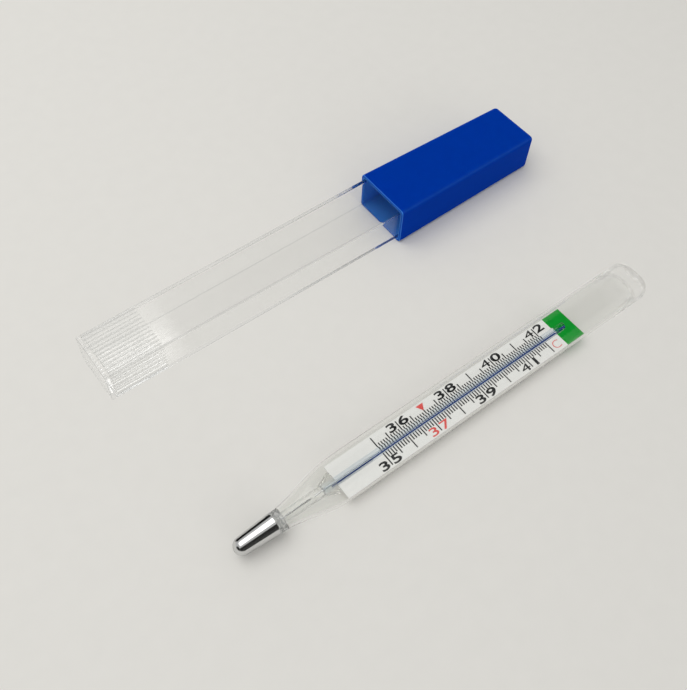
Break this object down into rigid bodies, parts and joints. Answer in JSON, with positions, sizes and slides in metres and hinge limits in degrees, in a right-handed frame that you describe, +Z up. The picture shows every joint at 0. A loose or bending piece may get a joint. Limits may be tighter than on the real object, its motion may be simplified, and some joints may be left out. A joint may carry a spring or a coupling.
{
  "type": "clinical thermometer",
  "caption": "Flat glass clinical thermometer with an enclosed white scale, a metal-filled bulb and a coloured capillary, lying beside its clear case and blue slide-on cap.",
  "frame": {"origin": "under the middle of the set's box, on the surface on which the thermometer and the case lie", "axes": "+X along the thermometer and the case, from the bulb and the case's closed end towards the sealed end and the cap; +Y from the thermometer to the case; +Z up"},
  "size_m": [0.1331, 0.069, 0.0118],
  "materials": {
    "clear_glass": "fire-polished clear glass",
    "fused_glass": "fused grey glass with small bumps",
    "liquid_metal": "bright liquid metal",
    "scale_white": "smooth opal white",
    "retainer_green": "smooth green",
    "stripe_blue": "printed navy blue",
    "ink_black": "printed black",
    "ink_red": "printed red",
    "case_clear": "clear moulded plastic",
    "cap_blue": "satin moulded plastic"
  },
  "bodies": {
    "thermometer": {"envelope": "clear_glass", "end_closure": "clear_glass", "neck_seal": "fused_glass", "bulb_glass": "clear_glass", "bulb_liquid": "liquid_metal", "stem_tube": "clear_glass", "capillary_tube": "clear_glass", "blue_stripe": "stripe_blue", "scale_plate": "scale_white", "scale_retainer": "retainer_green", "degree_lines": "ink_black", "half_degree_lines": "ink_black", "tenth_lines": "ink_black", "fever_arrow": "ink_red"},
    "thread": {"liquid_thread": "liquid_metal"},
    "case": {"case_tube": "case_clear"},
    "cap": {"case_cap": "cap_blue"}
  },
  "joints": [
    {"name": "thread_rise", "type": "slide", "parent": "thermometer", "child": "thread", "axis": [1, 0, 0], "range_m": [0, 0.0535]},
    {"name": "case_lift", "type": "slide", "parent": "thermometer", "child": "case", "axis": [0, 0, 1], "range_m": [0, 0.04]},
    {"name": "cap_pull", "type": "slide", "parent": "case", "child": "cap", "axis": [1, 0, 0], "range_m": [0, 0.03]}
  ]
}
